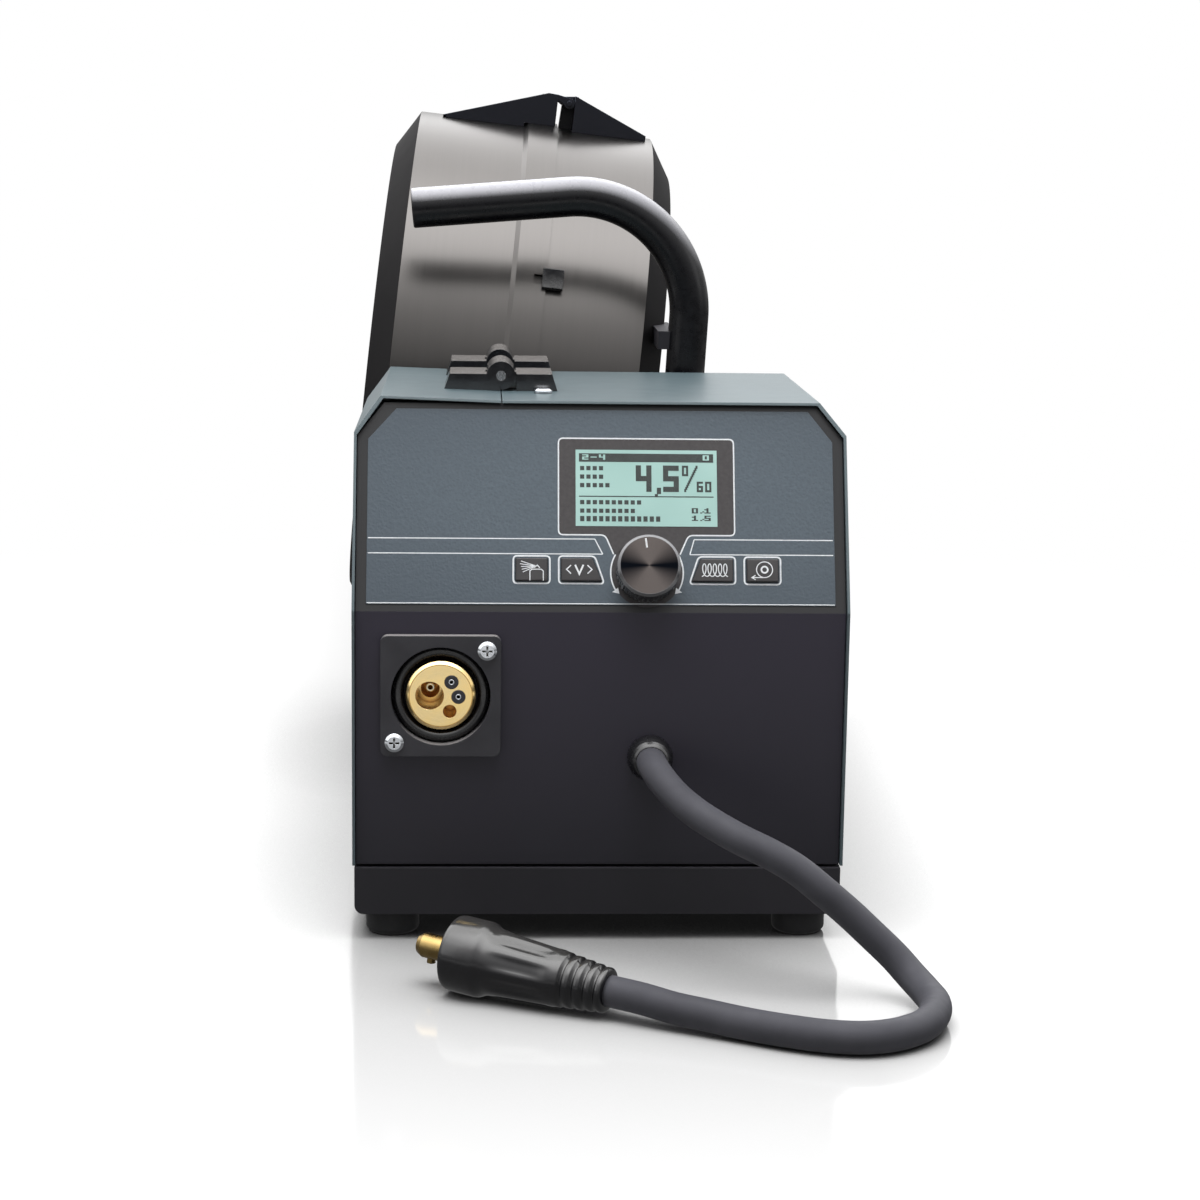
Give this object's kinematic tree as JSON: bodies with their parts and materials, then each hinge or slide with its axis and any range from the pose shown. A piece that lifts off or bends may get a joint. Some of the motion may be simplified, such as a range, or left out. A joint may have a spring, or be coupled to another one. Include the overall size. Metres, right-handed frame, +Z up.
{
  "type": "wire feeder",
  "caption": "Portable wire feeder: leaning control panel, torch socket, side door, tilted round spool case, hooked carrying handle and a short welding lead with a bayonet plug.",
  "frame": {"origin": "centre of the bounding box on the floor, without the welding lead and its plug", "axes": "+X to the operator's right, +Y from the front panel to the back, +Z up"},
  "size_m": [0.3227, 0.7885, 0.4564],
  "materials": {
    "black_paint": "fine textured black powder coat",
    "teal_paint": "satin blue-grey textured paint",
    "grey_paint": "grey machinery enamel",
    "printed_film": "matt printed overlay film",
    "lcd": "backlit display window",
    "board": "circuit board",
    "black_plastic": "black moulded plastic",
    "dark_anodised": "dark anodised, turned",
    "brass": "machined brass",
    "steel": "ground steel",
    "case_sheet": "satin rolled sheet",
    "zinc": "zinc-plated",
    "screw_plate": "bright plated",
    "rubber": "matt rubber",
    "hose": "dark blue gas hose",
    "wire": "copper-coated wire"
  },
  "bodies": {
    "chassis": {"base_tray": "black_paint", "rubber_feet": "rubber", "front_panel": "black_paint", "panel_overlay": "printed_film", "display_window": "lcd", "display_board": "board", "socket_flange": "black_plastic", "socket_body": "brass", "pilot_contacts": "black_plastic", "machine_screws": "screw_plate", "cable_gland": "black_plastic", "inner_lead": "rubber", "lead_lug": "brass", "gas_hose": "hose", "top_cover": "teal_paint", "divider_wall": "zinc", "rear_bulkhead": "zinc", "fixed_leaves": "black_plastic", "hinge_pins": "steel", "drive_plate": "zinc", "drive_motor": "grey_paint", "drive_pins": "steel", "wire_guides": "brass", "case_band_right": "case_sheet", "case_pan_right": "black_paint", "case_roof_right": "black_paint", "spool_hub": "black_plastic", "rear_housing": "black_paint", "gas_valve": "brass", "rear_sockets": "black_plastic", "handle_tube": "steel", "handle_grip": "rubber", "handle_clamps": "black_paint", "weld_cable": "rubber", "plug_sleeve": "rubber", "plug_pin": "brass"},
    "door": {"side_door": "teal_paint", "moving_leaves": "black_plastic"},
    "latch": {"door_latch": "black_plastic"},
    "knob": {"encoder_knob": "dark_anodised"},
    "gas_key": {"key_gas": "black_plastic"},
    "voltage_key": {"key_voltage": "black_plastic"},
    "program_key": {"key_program": "black_plastic"},
    "wire_key": {"key_wire": "black_plastic"},
    "centre_gear_body": {"centre_gear": "steel"},
    "front_roll": {"feed_roll_front": "steel"},
    "rear_roll": {"feed_roll_rear": "steel"},
    "arm": {"pressure_arm": "zinc"},
    "front_press_roll": {"pressure_roll_front": "steel"},
    "rear_press_roll": {"pressure_roll_rear": "steel"},
    "tension_rod_body": {"tension_rod": "steel", "tension_spring": "zinc"},
    "tension_knob_body": {"tension_knob": "black_plastic"},
    "case_left_shell": {"case_band_left": "case_sheet", "case_pan_left": "black_paint", "case_roof_left": "black_paint"},
    "catch": {"case_catch": "black_plastic"},
    "spool": {"wire_spool": "black_plastic", "wire_winding": "wire"},
    "spool_nut": {"hub_nut": "black_plastic"}
  },
  "joints": [
    {"name": "door_hinge", "type": "hinge", "parent": "chassis", "child": "door", "pos_m": [-0.04474, -0.14483, 0.297], "axis": [0, 1, 0], "range_deg": [0, 110]},
    {"name": "latch_turn", "type": "hinge", "parent": "door", "child": "latch", "pos_m": [-0.12374, -0.19183, 0.0735], "axis": [-1, 0, 0], "range_deg": [0, 90]},
    {"name": "knob_turn", "type": "hinge", "parent": "chassis", "child": "knob", "pos_m": [0.03296, -0.28395, 0.20022], "axis": [0, -0.9317, 0.3633], "continuous": true},
    {"name": "gas_key_press", "type": "slide", "parent": "chassis", "child": "gas_key", "axis": [0, 0.9317, -0.3633], "range_m": [0, 0.0008], "stiffness_N_per_m": 600},
    {"name": "voltage_key_press", "type": "slide", "parent": "chassis", "child": "voltage_key", "axis": [0, 0.9317, -0.3633], "range_m": [0, 0.0008], "stiffness_N_per_m": 600},
    {"name": "program_key_press", "type": "slide", "parent": "chassis", "child": "program_key", "axis": [0, 0.9317, -0.3633], "range_m": [0, 0.0008], "stiffness_N_per_m": 600},
    {"name": "wire_key_press", "type": "slide", "parent": "chassis", "child": "wire_key", "axis": [0, 0.9317, -0.3633], "range_m": [0, 0.0008], "stiffness_N_per_m": 600},
    {"name": "feed_drive", "type": "hinge", "parent": "chassis", "child": "centre_gear_body", "pos_m": [-0.07124, -0.17683, 0.09587], "axis": [1, 0, 0], "continuous": true},
    {"name": "front_roll_spin", "type": "hinge", "parent": "chassis", "child": "front_roll", "pos_m": [-0.08244, -0.19983, 0.11995], "axis": [1, 0, 0], "continuous": true},
    {"name": "rear_roll_spin", "type": "hinge", "parent": "chassis", "child": "rear_roll", "pos_m": [-0.08244, -0.15383, 0.11995], "axis": [1, 0, 0], "continuous": true},
    {"name": "arm_pivot", "type": "hinge", "parent": "chassis", "child": "arm", "pos_m": [-0.08124, -0.11983, 0.16775], "axis": [-1, 0, 0], "range_deg": [0, 25]},
    {"name": "front_press_spin", "type": "hinge", "parent": "arm", "child": "front_press_roll", "pos_m": [-0.08244, -0.19983, 0.15025], "axis": [1, 0, 0], "continuous": true},
    {"name": "rear_press_spin", "type": "hinge", "parent": "arm", "child": "rear_press_roll", "pos_m": [-0.08244, -0.15383, 0.15025], "axis": [1, 0, 0], "continuous": true},
    {"name": "tension_swing", "type": "hinge", "parent": "chassis", "child": "tension_rod_body", "pos_m": [-0.08244, -0.22583, 0.1518], "axis": [1, 0, 0], "range_deg": [-30, 0]},
    {"name": "tension_screw", "type": "hinge", "parent": "tension_rod_body", "child": "tension_knob_body", "pos_m": [-0.08244, -0.24583, 0.18644], "axis": [0, -0.5, 0.866], "continuous": true},
    {"name": "case_hinge", "type": "hinge", "parent": "chassis", "child": "case_left_shell", "pos_m": [0.00236, 0.13317, 0.44838], "axis": [0, 1, 0], "range_deg": [0, 80]},
    {"name": "catch_slide", "type": "slide", "parent": "case_left_shell", "child": "catch", "axis": [-0.9945, 0, 0.1045], "range_m": [0, 0.005], "stiffness_N_per_m": 200},
    {"name": "spool_spin", "type": "hinge", "parent": "chassis", "child": "spool", "pos_m": [-0.03724, 0.13317, 0.262], "axis": [0.9945, 0, -0.1045], "continuous": true},
    {"name": "spool_nut_turn", "type": "hinge", "parent": "chassis", "child": "spool_nut", "pos_m": [-0.10288, 0.13317, 0.2689], "axis": [0.9945, 0, -0.1045], "continuous": true}
  ],
  "couplings": [
    {"joint": "front_roll_spin", "follows": "feed_drive", "ratio": -1.2},
    {"joint": "rear_roll_spin", "follows": "feed_drive", "ratio": -1.2},
    {"joint": "front_press_spin", "follows": "feed_drive", "ratio": 1.2},
    {"joint": "rear_press_spin", "follows": "feed_drive", "ratio": 1.2}
  ]
}
